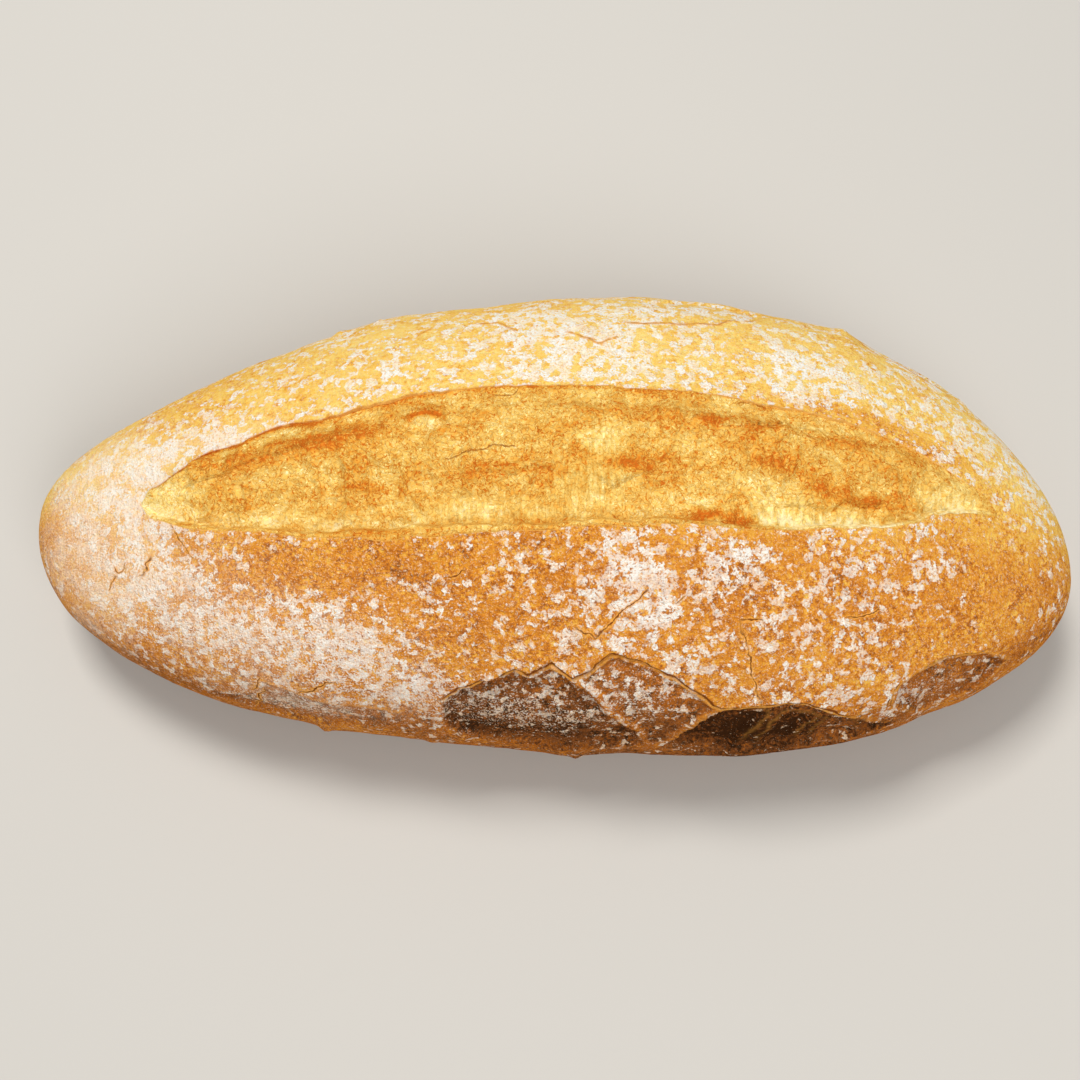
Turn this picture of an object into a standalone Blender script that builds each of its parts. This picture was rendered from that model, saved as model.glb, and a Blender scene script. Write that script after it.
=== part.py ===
"""A short, broad loaf of white bread with one long slash torn open along its top.

Metres, +Z up. The loaf rests on its flat base on Z = 0. Its length runs along X, its front faces -Y, and the
origin is the middle of its footprint. The whole loaf is one solid. Its smooth form is a row of cross-sections
from the left tip to the right tip, and the slash, the broken shoulder and the uneven outline are relief on it.
"""

from itertools import product

import bmesh
import bpy
import numpy as np

MM = 0.001

# ---- driving dimensions ------------------------------------------------------------------------------
LENGTH = 290 * MM
WIDEST_LEVEL = 26 * MM              # height at which a cross-section is widest
UNDERSIDE_DEPTH = 29 * MM           # from there down: more than the level, which presses the base flat
ROOF_POWER = 2.2                    # superellipse powers of a cross-section, above and below its widest level
BELLY_POWER = 3.0
BASE_POWER = 5                      # how far the flat base reaches towards the tips

# Each row is (place along the loaf from -1 at the left tip to +1 at the right tip, millimetres).
FRONT_REACH = ((-1, 70.5), (-0.8, 63.8), (-0.55, 60.6), (-0.25, 57.3), (0.05, 57), (0.35, 59.4),
               (0.6, 61.4), (0.8, 59.2), (1, 63.9))
BACK_REACH = ((-1, 51.3), (-0.8, 52.3), (-0.55, 62.1), (-0.25, 69.3), (0.05, 74.6), (0.35, 79.8),
              (0.6, 82.4), (0.8, 82.5), (1, 75.4))
ROOF_HEIGHT = ((-1, 40), (0, 47), (1, 44))
CENTRE_LINE = ((-1, 5), (1, -9))

# ---- the slash: each lip is a line of (millimetres along X, degrees round the loaf from its front) ----
FRONT_LIP = ((-109, 86.5), (-106, 82.2), (-102, 80.5), (-96, 78.8), (-82, 77.7), (-66, 76.4), (-50, 75.9),
             (-38, 76), (-26, 77), (-9, 79), (15, 81), (32, 82.3), (50, 82.8), (72, 84.7), (89, 87.5),
             (98, 90.5), (109, 93), (119, 95))
BACK_LIP = ((-109, 86.5), (-107, 90), (-104, 91.5), (-99, 95.5), (-93, 99.5), (-82, 102), (-73, 104.8),
            (-58, 106), (-49, 107.2), (-40, 108.7), (-20, 110.4), (-7, 110.9), (15, 110.2), (47, 110),
            (61, 109.4), (79, 108.8), (90, 107.2), (98, 106), (103, 103.8), (108, 102.3), (115, 100),
            (119, 95))
LIP_RISE = 0.9 * MM                 # the crust curls up along the front lip
LIP_SPREAD = 5 * MM
TEAR_WIDTH = 2 * MM                 # torn edge of the crust, from the lip down to the crumb
FULL_SLASH = 16 * MM                # a narrower slash is shallower in proportion
# (share of the way from the front lip to the back lip, millimetres above the smooth form)
CRUMB_PROFILE = ((0, -3.2), (0.12, -3.2), (0.3, -1.4), (0.55, 0.6), (0.8, 1.2), (0.93, 0.4), (1, -0.7))
BACK_LIP_RISE = 0.4 * MM
# Swells of the torn crumb: (middle along X, middle along Y, half length, half width, rise), in millimetres.
CRUMB_SWELLS = (
    (-84, 9, 11, 3, 0.9), (-62, 13, 14, 4, 1.0), (-33, 17, 7, 4, 1.3), (-42, 6, 9, 4, 0.7),
    (-10, 1, 11, 3, 1.2), (14, 17, 14, 5, 0.9), (16, 1, 7, 3, 1.0), (60, 12, 12, 4, 1.0),
    (53, 4, 6, 3, 0.8), (73, -3, 12, 3, 1.6), (89, 8, 9, 4, 0.9), (-60, -4, 12, 3, -0.8),
    (34, 2, 8, 4, -1.2), (-22, -6, 12, 3, -0.6),
)
CRUMB_LUMP_SIZE = 9 * MM
CRUMB_LUMP = 0.55 * MM              # height of the lumps all over the torn crumb
# A toasted flap of crumb stands up behind the front lip: its middle in X and Y, half sizes and height.
FLAP_CENTRE = (40 * MM, -9 * MM)
FLAP_HALF = (10 * MM, 3 * MM)
FLAP_RISE = 3 * MM

# ---- the broken shoulder: (millimetres along X, degrees round the loaf from its front) ----------------
FRONT_CRACK = ((-60, 24), (-34, 23), (-28.8, 26), (-24.3, 32.3), (-17.8, 36), (-17, 34.8), (-9.4, 40),
               (-5.5, 38), (-4, 40.3), (-1, 43.5), (4.9, 38), (14.6, 47), (17.2, 46.2), (21.7, 45),
               (26.2, 42.3), (32, 39), (37.1, 35), (42.5, 29.8), (47.5, 30), (60, 32), (71, 28), (77, 23),
               (86, 26), (88, 34), (94, 38), (100, 41.5), (113, 40), (122, 36))
CRACK_RISE = 0.5 * MM               # the crust above the crack curls up a little
# Facets where the crust broke away and sank: their depth, then their outline in the crack's own coordinates.
SUNKEN_FACETS = (
    (2.0 * MM, ((-28.8, 26), (-24.3, 32.3), (-17.8, 36), (-9.4, 40), (-5.5, 38), (-1, 43.5), (4.9, 38),
                (12, 30.5), (23, 13.5), (26, 2), (0, -2), (-20, 2), (-30, 14))),
    (0.8 * MM, ((4.9, 38), (14.6, 47), (17.2, 46.2), (26.2, 42.3), (32, 39), (37.1, 35), (42.5, 29.8),
                (36, 20.5), (26, 2), (23, 13.5), (12, 30.5))),
    (2.4 * MM, ((26, 2), (36, 20.5), (42.5, 29.8), (47.5, 30), (60, 32), (71, 28), (77, 23), (94, 7),
                (80, -1), (50, -2))),
    (1.3 * MM, ((87, 25), (88, 34), (94, 38), (100, 41.5), (113, 40), (122, 26), (113, 10), (97, 8))),
    (0.9 * MM, ((-96, 6), (-79, 18), (-75, 27), (-60, 20), (-42, 18), (-44, 2), (-70, -2))),
    (1.1 * MM, ((60, 163), (84, 157), (98, 147), (113, 145), (110, 160), (90, 172), (66, 172))),
    (0.8 * MM, ((20, 150), (30, 143), (46, 138), (58, 140), (62, 152), (40, 158))),
)
FACET_EDGE = 3 * MM                 # how wide a facet's edge slopes
SHOULDER_TURN = 1.05 * MM           # distance round the shoulder for one degree

# The outline wavers: (millimetres along X, degrees round the loaf, rise and half width in millimetres).
OUTLINE_BUMPS = (
    (-48, 172, 1.3, 11), (-18, 172, -0.9, 10), (-76, 172, -0.8, 9), (62, 172, -0.9, 9), (84, 168, 1.5, 5),
    (120, 170, -0.9, 8), (25, 172, 0.6, 12), (-60, 4, 0.8, 5), (4, 4, 1.0, 6), (20, 6, -0.8, 6),
    (53, 4, 0.8, 9), (102, 8, -0.8, 5), (114, 6, 1.1, 6), (-134, 10, 0.7, 4), (-80, 6, -0.5, 6),
)
BUMP_TURN = 30                      # degrees round the loaf that a bump covers to each side
# Slow waves over the crust: (size, height), both in millimetres.
CRUST_WAVES = ((38, 0.8), (17, 0.35))
LATTICE = 16                        # random values along each edge of the block that these lumps repeat

# ---- the solid's mesh --------------------------------------------------------------------------------
STATIONS = 84                       # cross-sections from tip to tip
ROWS = 56                           # points round a cross-section
STATION_EVENNESS = 0.15             # spreads the cross-sections evenly instead of crowding them at the tips
# Rows that follow a line on the loaf: row number, line, and degrees round the loaf from that line.
CRACK_GAP = 1.6
LIP_GAP = 2.4
ROW_LINES = (
    (0, "bottom", -90), (6, "bottom", -24), (13, "crack", -CRACK_GAP), (14, "crack", 0),
    (15, "crack", CRACK_GAP), (21, "front lip", -LIP_GAP), (22, "front lip", 0), (23, "front lip", LIP_GAP),
    (31, "back lip", -LIP_GAP), (32, "back lip", 0), (33, "back lip", LIP_GAP), (47, "bottom", 196),
    (ROWS, "bottom", 270),
)
LEAST_SLASH = 7                     # degrees kept between the rows of the two lips past the slash's ends
SHARP_ANGLE = np.radians(42)

CRUST_COLOUR = (0.73, 0.36, 0.12, 1.0)
CRUMB_COLOUR = (0.80, 0.50, 0.16, 1.0)
CRUST_ROUGHNESS = 0.62
CRUMB_ROUGHNESS = 0.80


def smooth_curve(knots, at):
    """A smooth curve through the knots (place, value), read at the places AT, and level past its ends."""
    place, value = np.array(knots, float).T
    slope = np.gradient(value, place)
    at = np.clip(at, place[0], place[-1])
    left = np.clip(np.searchsorted(place, at, side="right") - 1, 0, len(place) - 2)
    gap = place[left + 1] - place[left]
    part = (at - place[left]) / gap
    start, end = value[left], value[left + 1]
    bend_start, bend_end = slope[left] * gap, slope[left + 1] * gap
    return (start + part * bend_start + part**2 * (3 * (end - start) - 2 * bend_start - bend_end)
            + part**3 * (2 * (start - end) + bend_start + bend_end))


def straight_line(knots, at):
    """The straight lines through the knots (place, value), read at the places AT."""
    place, value = np.array(knots, float).T
    return np.interp(at, place, value)


def smooth_step(value):
    """0 below 0, 1 above 1, and a smooth rise between."""
    value = np.clip(value, 0, 1)
    return value * value * (3 - 2 * value)


def bare_loaf(along, turn):
    """Points of the smooth form. ALONG runs from 0 at the left tip to pi at the right tip, and TURN goes
    round it in degrees: 0 at the front, 90 at the top, 180 at the back and 270 underneath."""
    reach = -np.cos(along)
    slim = np.sin(along)
    side, rise = np.cos(np.radians(turn)), np.sin(np.radians(turn))
    power = np.where(rise > 0, 2 / ROOF_POWER, 2 / BELLY_POWER)
    side_share = np.sign(side) * np.abs(side) ** power
    rise_share = np.sign(rise) * np.abs(rise) ** power
    half_width = MM * np.where(side > 0, smooth_curve(FRONT_REACH, reach), smooth_curve(BACK_REACH, reach))
    roof = smooth_curve(ROOF_HEIGHT, reach) * MM * slim
    belly = UNDERSIDE_DEPTH * np.sqrt(np.clip(1 - np.abs(reach) ** BASE_POWER, 0, 1))
    x = reach * LENGTH / 2
    y = straight_line(CENTRE_LINE, reach) * MM - side_share * half_width * slim
    z = WIDEST_LEVEL + rise_share * np.where(rise > 0, roof, belly)
    return np.stack([x, y, z], axis=-1)


def outward(along, turn):
    """The smooth form's outward direction at each point."""
    step = 0.01
    inner = np.clip(along, 2 * step, np.pi - 2 * step)
    down_the_loaf = bare_loaf(inner + step, turn) - bare_loaf(inner - step, turn)
    round_the_loaf = bare_loaf(inner, turn + 1) - bare_loaf(inner, turn - 1)
    normal = np.cross(down_the_loaf, round_the_loaf)
    return normal / np.linalg.norm(normal, axis=-1, keepdims=True)


def lumps(point, size, seed):
    """Smooth random lumps of about this size, between -1 and 1, at points in space."""
    value = np.random.default_rng(seed).uniform(-1, 1, (LATTICE, LATTICE, LATTICE))
    cell = np.floor(point / size)
    part = smooth_step(point / size - cell)
    total = 0
    for corner in product((0, 1), repeat=3):
        weight = np.prod(np.where(corner, part, 1 - part), axis=-1)
        x, y, z = np.moveaxis((cell + corner).astype(int) % LATTICE, -1, 0)
        total = total + weight * value[x, y, z]
    return total


def depth_inside(outline, x, turn):
    """How far each point lies inside an outline on the shoulder, in metres, and below 0 outside it."""
    corner = np.array(outline, float) * (MM, SHOULDER_TURN)
    point = np.stack([x, turn * SHOULDER_TURN], axis=-1)
    nearest = np.full(x.shape, np.inf)
    inside = np.zeros(x.shape, bool)
    for start, end in zip(corner, np.roll(corner, -1, axis=0)):
        edge = end - start
        share = np.clip((point - start) @ edge / (edge @ edge), 0, 1)
        nearest = np.minimum(nearest, np.linalg.norm(point - start - share[..., None] * edge, axis=-1))
        crosses = (start[1] > point[..., 1]) != (end[1] > point[..., 1])
        rise = edge[1] if edge[1] else 1.0
        inside ^= crosses & (point[..., 0] < start[0] + edge[0] * (point[..., 1] - start[1]) / rise)
    return np.where(inside, nearest, -nearest)


def slash_relief(along, turn):
    """Rise and depth of the slash: a curled front lip, a deep torn edge behind it, and the swelling crumb."""
    place = bare_loaf(along, turn)
    x, y = place[..., 0], place[..., 1]
    front = bare_loaf(along, smooth_curve(FRONT_LIP, x / MM))[..., 1]
    back = bare_loaf(along, smooth_curve(BACK_LIP, x / MM))[..., 1]
    width = np.maximum(back - front, 0)
    strength = smooth_step(width / FULL_SLASH)
    strength = np.where((x > FRONT_LIP[0][0] * MM) & (x < FRONT_LIP[-1][0] * MM), strength, 0)
    share = (y - front) / np.maximum(width, MM)
    lump = CRUMB_LUMP * lumps(place, CRUMB_LUMP_SIZE, seed=1)
    for swell_x, swell_y, half_x, half_y, rise in CRUMB_SWELLS:
        off_swell = ((x / MM - swell_x) / half_x) ** 2 + ((y / MM - swell_y) / half_y) ** 2
        lump += rise * MM * np.exp(-off_swell)
    off_flap = ((x - FLAP_CENTRE[0]) / FLAP_HALF[0]) ** 2 + ((y - FLAP_CENTRE[1]) / FLAP_HALF[1]) ** 2
    crumb = straight_line(CRUMB_PROFILE, share) * MM + lump + FLAP_RISE * np.exp(-off_flap)
    crumb = LIP_RISE + (crumb - LIP_RISE) * smooth_step((y - front) / TEAR_WIDTH)
    front_crust = LIP_RISE * np.exp(-(((y - front) / LIP_SPREAD) ** 2))
    back_crust = BACK_LIP_RISE * np.exp(-(((y - back) / LIP_SPREAD) ** 2))
    return strength * np.where(y <= front, front_crust, np.where(y < back, crumb, back_crust))


def shoulder_relief(along, turn):
    """Sunken facets below the crack in the front shoulder, and the curled edge of the crust above it."""
    x = bare_loaf(along, turn)[..., 0]
    relief = np.zeros(x.shape)
    for depth, outline in SUNKEN_FACETS:
        relief -= depth * smooth_step(depth_inside(outline, x, turn) / FACET_EDGE)
    above = (turn - straight_line(FRONT_CRACK, x / MM)) * SHOULDER_TURN
    starts = smooth_step((x / MM - FRONT_CRACK[1][0]) / 6)
    ends = smooth_step((FRONT_CRACK[-1][0] - x / MM) / 6)
    curl = np.where(above >= 0, np.exp(-above / FACET_EDGE), 0)
    return relief + CRACK_RISE * starts * ends * curl


def outline_relief(along, turn):
    """Slow waves over the crust and the bumps that make the outline uneven."""
    point = bare_loaf(along, turn)
    x = point[..., 0]
    relief = sum(height * MM * lumps(point, size * MM, seed=size) for size, height in CRUST_WAVES)
    for place, side, rise, half_width in OUTLINE_BUMPS:
        off_bump = ((x / MM - place) / half_width) ** 2 + ((turn - side) / BUMP_TURN) ** 2
        relief += rise * MM * np.exp(-off_bump)
    return relief * np.sin(along)


def loaf_surface(along, turn):
    """Points of the finished loaf, with the middle of its footprint at the origin."""
    relief = slash_relief(along, turn) + shoulder_relief(along, turn) + outline_relief(along, turn)
    point = bare_loaf(along, turn) + outward(along, turn) * relief[..., None]
    point[..., 2] = np.maximum(point[..., 2], 0)
    middle = (point.min(axis=0) + point.max(axis=0)) / 2
    return point - (middle[0], middle[1], 0)


def slash_rows(x):
    """The two lips, in degrees round the loaf, kept apart where the slash is narrow or has ended."""
    front, back = smooth_curve(FRONT_LIP, x / MM), smooth_curve(BACK_LIP, x / MM)
    middle, half = (front + back) / 2, np.maximum((back - front) / 2, LEAST_SLASH / 2)
    return middle - half, middle + half


def row_turn(along, row):
    """Degrees round the loaf at a row number. The rows bunch up at the lines that ROW_LINES names."""
    x = bare_loaf(along, np.zeros(along.shape))[..., 0]
    front, back = slash_rows(x)
    crack = straight_line(FRONT_CRACK, x / MM)
    line = {"bottom": np.zeros(x.shape), "crack": crack, "front lip": front, "back lip": back}
    turn = np.zeros(x.shape)
    for (low, low_line, low_add), (high, high_line, high_add) in zip(ROW_LINES, ROW_LINES[1:]):
        share = (row - low) / (high - low)
        between = (line[low_line] + low_add) * (1 - share) + (line[high_line] + high_add) * share
        turn = np.where((row >= low) & (row <= high), between, turn)
    return turn


def make_material(name, colour, roughness):
    material = bpy.data.materials.new(name)
    material.use_nodes = True
    shader = material.node_tree.nodes["Principled BSDF"]
    shader.inputs["Base Color"].default_value = colour
    shader.inputs["Roughness"].default_value = roughness
    material.diffuse_color = colour
    return material


def paint_crumb(mesh, along, turn):
    """The faces between the two lips are torn crumb; all others are crust."""
    for face in mesh.polygons:
        corners = list(face.vertices)
        x = -np.cos(along[corners].mean()) * LENGTH / 2 / MM
        if FRONT_LIP[0][0] < x < FRONT_LIP[-1][0]:
            front, back = smooth_curve(FRONT_LIP, x), smooth_curve(BACK_LIP, x)
            face.material_index = int(front < turn[corners].mean() < back)


def add_loaf(collection):
    """A sphere with its poles at the two tips, each point moved to its place on the loaf."""
    shape = bmesh.new()
    bmesh.ops.create_uvsphere(shape, u_segments=ROWS, v_segments=STATIONS, radius=1)
    ball = np.array([vertex.co for vertex in shape.verts], float)
    station = np.round(np.arccos(np.clip(-ball[:, 2], -1, 1)) / np.pi * STATIONS) / STATIONS
    along = np.pi * station + STATION_EVENNESS * np.sin(2 * np.pi * station)
    row = np.round(np.arctan2(-ball[:, 1], ball[:, 0]) / (2 * np.pi) * ROWS) % ROWS
    turn = row_turn(along, row)
    placed = loaf_surface(along, turn)
    for vertex, point in zip(shape.verts, placed):
        vertex.co = point
    mesh = bpy.data.meshes.new("loaf")
    shape.to_mesh(mesh)
    shape.free()
    mesh.materials.append(make_material("crust", CRUST_COLOUR, CRUST_ROUGHNESS))
    mesh.materials.append(make_material("torn crumb", CRUMB_COLOUR, CRUMB_ROUGHNESS))
    paint_crumb(mesh, along, turn)
    mesh.shade_smooth()
    mesh.set_sharp_from_angle(angle=SHARP_ANGLE)
    loaf = bpy.data.objects.new("loaf", mesh)
    collection.objects.link(loaf)
    return loaf


def main():
    for old in list(bpy.data.objects):
        bpy.data.objects.remove(old, do_unlink=True)
    collection = bpy.data.collections.new("bread loaf")
    bpy.context.scene.collection.children.link(collection)
    add_loaf(collection)


main()
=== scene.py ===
from itertools import product

import bpy
import numpy as np
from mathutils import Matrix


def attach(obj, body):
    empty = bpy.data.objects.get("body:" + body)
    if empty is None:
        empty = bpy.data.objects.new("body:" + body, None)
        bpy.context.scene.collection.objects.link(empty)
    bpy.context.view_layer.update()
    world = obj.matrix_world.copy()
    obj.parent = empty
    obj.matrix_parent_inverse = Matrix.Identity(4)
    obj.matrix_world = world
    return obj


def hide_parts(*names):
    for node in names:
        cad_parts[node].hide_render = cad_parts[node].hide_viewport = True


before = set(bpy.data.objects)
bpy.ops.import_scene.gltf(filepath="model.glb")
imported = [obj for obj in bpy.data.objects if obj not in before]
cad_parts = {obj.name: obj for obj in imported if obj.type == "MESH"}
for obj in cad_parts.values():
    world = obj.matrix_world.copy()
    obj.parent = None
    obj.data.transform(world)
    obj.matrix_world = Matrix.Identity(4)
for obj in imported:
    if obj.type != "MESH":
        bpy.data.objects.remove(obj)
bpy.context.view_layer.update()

MM = 0.001

# ---- the loaf's form, with the same values as its CAD source ----
LENGTH = 290 * MM
WIDEST_LEVEL = 26 * MM
UNDERSIDE_DEPTH = 29 * MM
ROOF_POWER = 2.2
BELLY_POWER = 3.0
BASE_POWER = 5
FOOTPRINT_MIDDLE = 5.97 * MM  # how far behind the origin the smooth form's footprint has its middle

# Each row is (place along the loaf from -1 at the left tip to +1 at the right tip, millimetres).
FRONT_REACH = (
    (-1, 70.5), (-0.8, 63.8), (-0.55, 60.6), (-0.25, 57.3), (0.05, 57), (0.35, 59.4), (0.6, 61.4),
    (0.8, 59.2), (1, 63.9),
)
BACK_REACH = (
    (-1, 51.3), (-0.8, 52.3), (-0.55, 62.1), (-0.25, 69.3), (0.05, 74.6), (0.35, 79.8), (0.6, 82.4),
    (0.8, 82.5), (1, 75.4),
)
ROOF_HEIGHT = ((-1, 40), (0, 47), (1, 44))
CENTRE_LINE = ((-1, 5), (1, -9))

# The lips of the slash: (millimetres along X, degrees round the loaf from its front).
FRONT_LIP = (
    (-109, 86.5), (-106, 82.2), (-102, 80.5), (-96, 78.8), (-82, 77.7), (-66, 76.4), (-50, 75.9),
    (-38, 76), (-26, 77), (-9, 79), (15, 81), (32, 82.3), (50, 82.8), (72, 84.7), (89, 87.5),
    (98, 90.5), (109, 93), (119, 95),
)
BACK_LIP = (
    (-109, 86.5), (-107, 90), (-104, 91.5), (-99, 95.5), (-93, 99.5), (-82, 102), (-73, 104.8),
    (-58, 106), (-49, 107.2), (-40, 108.7), (-20, 110.4), (-7, 110.9), (15, 110.2), (47, 110),
    (61, 109.4), (79, 108.8), (90, 107.2), (98, 106), (103, 103.8), (108, 102.3), (115, 100), (119, 95),
)
LIP_RISE = 0.9 * MM
BACK_LIP_RISE = 0.4 * MM
LIP_SPREAD = 5 * MM
TEAR_WIDTH = 2 * MM
FULL_SLASH = 16 * MM
CRUMB_PROFILE = ((0, -3.2), (0.12, -3.2), (0.3, -1.4), (0.55, 0.6), (0.8, 1.2), (0.93, 0.4), (1, -0.7))
CRUMB_SWELLS = (
    (-84, 9, 11, 3, 0.9), (-62, 13, 14, 4, 1.0), (-33, 17, 7, 4, 1.3), (-42, 6, 9, 4, 0.7),
    (-10, 1, 11, 3, 1.2), (14, 17, 14, 5, 0.9), (16, 1, 7, 3, 1.0), (60, 12, 12, 4, 1.0),
    (53, 4, 6, 3, 0.8), (73, -3, 12, 3, 1.6), (89, 8, 9, 4, 0.9), (-60, -4, 12, 3, -0.8),
    (34, 2, 8, 4, -1.2), (-22, -6, 12, 3, -0.6),
)
CRUMB_LUMP_SIZE = 9 * MM
CRUMB_LUMP = 0.55 * MM
FLAP_CENTRE = (40 * MM, -9 * MM)
FLAP_HALF = (10 * MM, 3 * MM)
FLAP_RISE = 3 * MM

# The broken shoulder: (millimetres along X, degrees round the loaf from its front).
FRONT_CRACK = (
    (-60, 24), (-34, 23), (-28.8, 26), (-24.3, 32.3), (-17.8, 36), (-17, 34.8), (-9.4, 40), (-5.5, 38),
    (-4, 40.3), (-1, 43.5), (4.9, 38), (14.6, 47), (17.2, 46.2), (21.7, 45), (26.2, 42.3), (32, 39),
    (37.1, 35), (42.5, 29.8), (47.5, 30), (60, 32), (71, 28), (77, 23), (86, 26), (88, 34), (94, 38),
    (100, 41.5), (113, 40), (122, 36),
)
CRACK_RISE = 0.5 * MM
CRACK_CURL = 3 * MM  # the curled edge above the crack falls off in this length
# Facets where the crust broke away: depth, how much darker they are (partly baked darker, partly painted
# shade where they face down and forward), change of flour, and outline. The CAD source has their depths and
# outlines.
SUNKEN_FACETS = (
    (2.0 * MM, 0.28, -0.12, (
        (-28.8, 26), (-24.3, 32.3), (-17.8, 36), (-9.4, 40), (-5.5, 38), (-1, 43.5), (4.9, 38), (12, 30.5),
        (23, 13.5), (26, 2), (0, -2), (-20, 2), (-30, 14))),
    (0.8 * MM, 0.2, -0.05, (
        (4.9, 38), (14.6, 47), (17.2, 46.2), (26.2, 42.3), (32, 39), (37.1, 35), (42.5, 29.8), (36, 20.5),
        (26, 2), (23, 13.5), (12, 30.5))),
    (2.4 * MM, 0.28, -0.25, (
        (26, 2), (36, 20.5), (42.5, 29.8), (47.5, 30), (60, 32), (71, 28), (77, 23), (94, 7), (80, -1),
        (50, -2))),
    (1.3 * MM, 0.14, 0.05, (
        (87, 25), (88, 34), (94, 38), (100, 41.5), (113, 40), (122, 26), (113, 10), (97, 8))),
    (0.9 * MM, 0.11, -0.05, ((-96, 6), (-79, 18), (-75, 27), (-60, 20), (-42, 18), (-44, 2), (-70, -2))),
    (1.1 * MM, 0, 0.12, ((60, 163), (84, 157), (98, 147), (113, 145), (110, 160), (90, 172), (66, 172))),
    (0.8 * MM, 0, 0.15, ((20, 150), (30, 143), (46, 138), (58, 140), (62, 152), (40, 158))),
)
SHOULDER_TURN = 1.05 * MM  # distance round the shoulder for one degree
# Bumps and dents in the outline: (X in mm, degrees round, rise in mm, half size in mm).
OUTLINE_BUMPS = (
    (-48, 172, 1.3, 11), (-18, 172, -0.9, 10), (-76, 172, -0.8, 9), (62, 172, -0.9, 9),
    (84, 168, 1.5, 5), (120, 170, -0.9, 8), (25, 172, 0.6, 12), (-60, 4, 0.8, 5), (4, 4, 1.0, 6),
    (20, 6, -0.8, 6), (53, 4, 0.8, 9), (102, 8, -0.8, 5), (114, 6, 1.1, 6), (-134, 10, 0.7, 4),
    (-80, 6, -0.5, 6),
)
BUMP_TURN = 30  # how many degrees round the loaf such a bump reaches
CRUST_WAVES = ((38, 0.8), (17, 0.35))  # size and height, in mm
LATTICE = 16  # random numbers along each side of the block that lumps come from

# ---- finer relief, which only this scene has ----
FINE_LATTICE = 48  # the same for finer lumps, which would repeat too soon on that block
LIP_WAVER = ((7, 0.45), (2.4, 0.3))  # the lips waver: size along the lip in mm, and degrees
CRUST_LUMPS = ((7, 0.16), (3, 0.09), (1.6, 0.05))  # size and height, in mm
WALL = 0.35 * MM  # the crust's torn edge at a lip drops steeply in this width
HIDDEN_FLOOR = 5.5 * MM  # how deep the crust piece lies under the torn crumb
CRUST_THICKNESS = 0.35 * MM  # the crumb starts this far under the front lip
TUCK = 0.8 * MM  # the crumb runs on under the crust past each lip
TUCK_DEPTH = 1.6 * MM
CRUMB_UNDERSIDE = 8 * MM
FLUSH_FROM = -100 * MM  # to the right of here the crumb rises flush with the back lip
FLUSH_LENGTH = 50 * MM
FLUSH_WIDTH = 9 * MM
EDGE_ROUGHNESS = 0.4  # the share of the lumps that show on the torn edge behind the front lip
FLUSH_ROUGHNESS = 0.3  # and where the crumb meets the back lip
END_SINK = 0.15 * MM  # keeps the crumb under the crust where the slash runs out
CRACK_STEP = 0.6 * MM  # the broken crust below the crack starts this much lower
CRACK_STEP_WIDTH = 2.2 * MM
GROOVE_DEPTH = 0.6 * MM
GROOVE_WIDTH = 0.4 * MM  # the groove runs one such width below the crack
STEP_FROM = 24  # the step and the groove show above this turn
STEP_RISE = 24  # and fully this many degrees higher
# Smaller facets on the dark broken crust, with ridges between them.
SMALL_FACETS = (
    (1.1 * MM, 0.05, 0, (
        (31.4, 9.5), (37, 18.5), (40.8, 25), (46.4, 27.5), (54, 26.5), (56, 24), (53, 16), (50, 5),
        (49, -6), (34, -4))),
    (1.1 * MM, 0.05, -0.05, (
        (54, -4), (54.5, 8), (57, 19.5), (60, 24), (64, 24.5), (68, 23.5), (69, 20), (66.5, 14), (64.5, 5),
        (64, -6))),
    (1.0 * MM, -0.08, 0.2, ((68.5, -5), (69.5, 11), (72, 19.5), (76, 19.5), (80, 16), (83, 3), (79, -6))),
)
FACET_SHELF = 1.3 * MM  # a torn rim of crust stays this wide along a facet's edge
FACET_EDGE = 1.5 * MM  # and drops to the facet in this width
FACET_WAVER = ((5, 0.8), (1.9, 0.45))  # broken edges waver: size along them and shift, in mm
FACET_FADE_FROM = -6  # a facet's darker colour fades in from this turn
FACET_FADE = 16  # over this many degrees
FACET_RIM = 0.5 * MM  # half the width of the torn rim, painted paler: partly the torn crust's own colour, partly painted highlight
RIMMED_FACETS = ((2, 0.7), (3, 0.7), (4, 0.6))  # the sunken facets that show that colour, and how strongly
RIM_FROM = 8  # it shows above this turn
RIM_RISE = 14  # and fully this many degrees higher
SMALL_RIDGE_HIGHLIGHT = 0.3  # how strongly the ridges between the smaller facets show it, as painted highlight
# Small torn flakes: (X in mm, degrees round, half size in mm, half size in degrees, rise in mm).
FLAKES = (
    (-62, -6, 1.6, 5, 1.1), (-32.6, -3, 2.2, 5, 0.8), (-23.7, 3, 1.2, 4, 0.8), (6.8, -6, 1.5, 5, 0.9),
    (-73.6, 22, 1.5, 3, 0.7), (-59.7, 152, 1.8, 4, 1.0), (-48.3, 152, 1.3, 4, 0.7),
    (82.4, 154, 1.8, 4, 1.0), (115.7, 150, 1.5, 5, 0.9), (-94.8, 135, 1.2, 4, 0.6),
    (111, 38.5, 2.6, 1.6, 1.5), (88.5, 40, 1.3, 2.5, 0.9),
)
# Relief of the torn crumb: (size and height in mm, stretch along X, Y and Z, where less than 1 draws out).
CRUMB_RELIEF = ((4.2, 0.6, (1, 0.8, 1)), (1.9, 0.42, (1, 0.8, 1)), (0.9, 0.22, (1, 0.7, 1)))
CRUMB_RIDGES = ((6.5, 0.8, (1, 0.7, 1)), (2.6, 0.45, (1, 0.5, 1)))
RIDGE_MIDDLE = 0.4  # the mean of a ridge, from 0 to 1, which leaves the crumb at its level
CRUMB_WARP = ((11, 4), (4, 1.5))  # size and shift, in mm, that bend the lumps out of straight
CREST_TOAST = 0.14  # how much more the crumb is toasted for each millimetre that it rises

# ---- meshes ----
CRUST_STATIONS = 384
STATION_EVENNESS = 0.15  # spaces the rings more evenly along X
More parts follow.
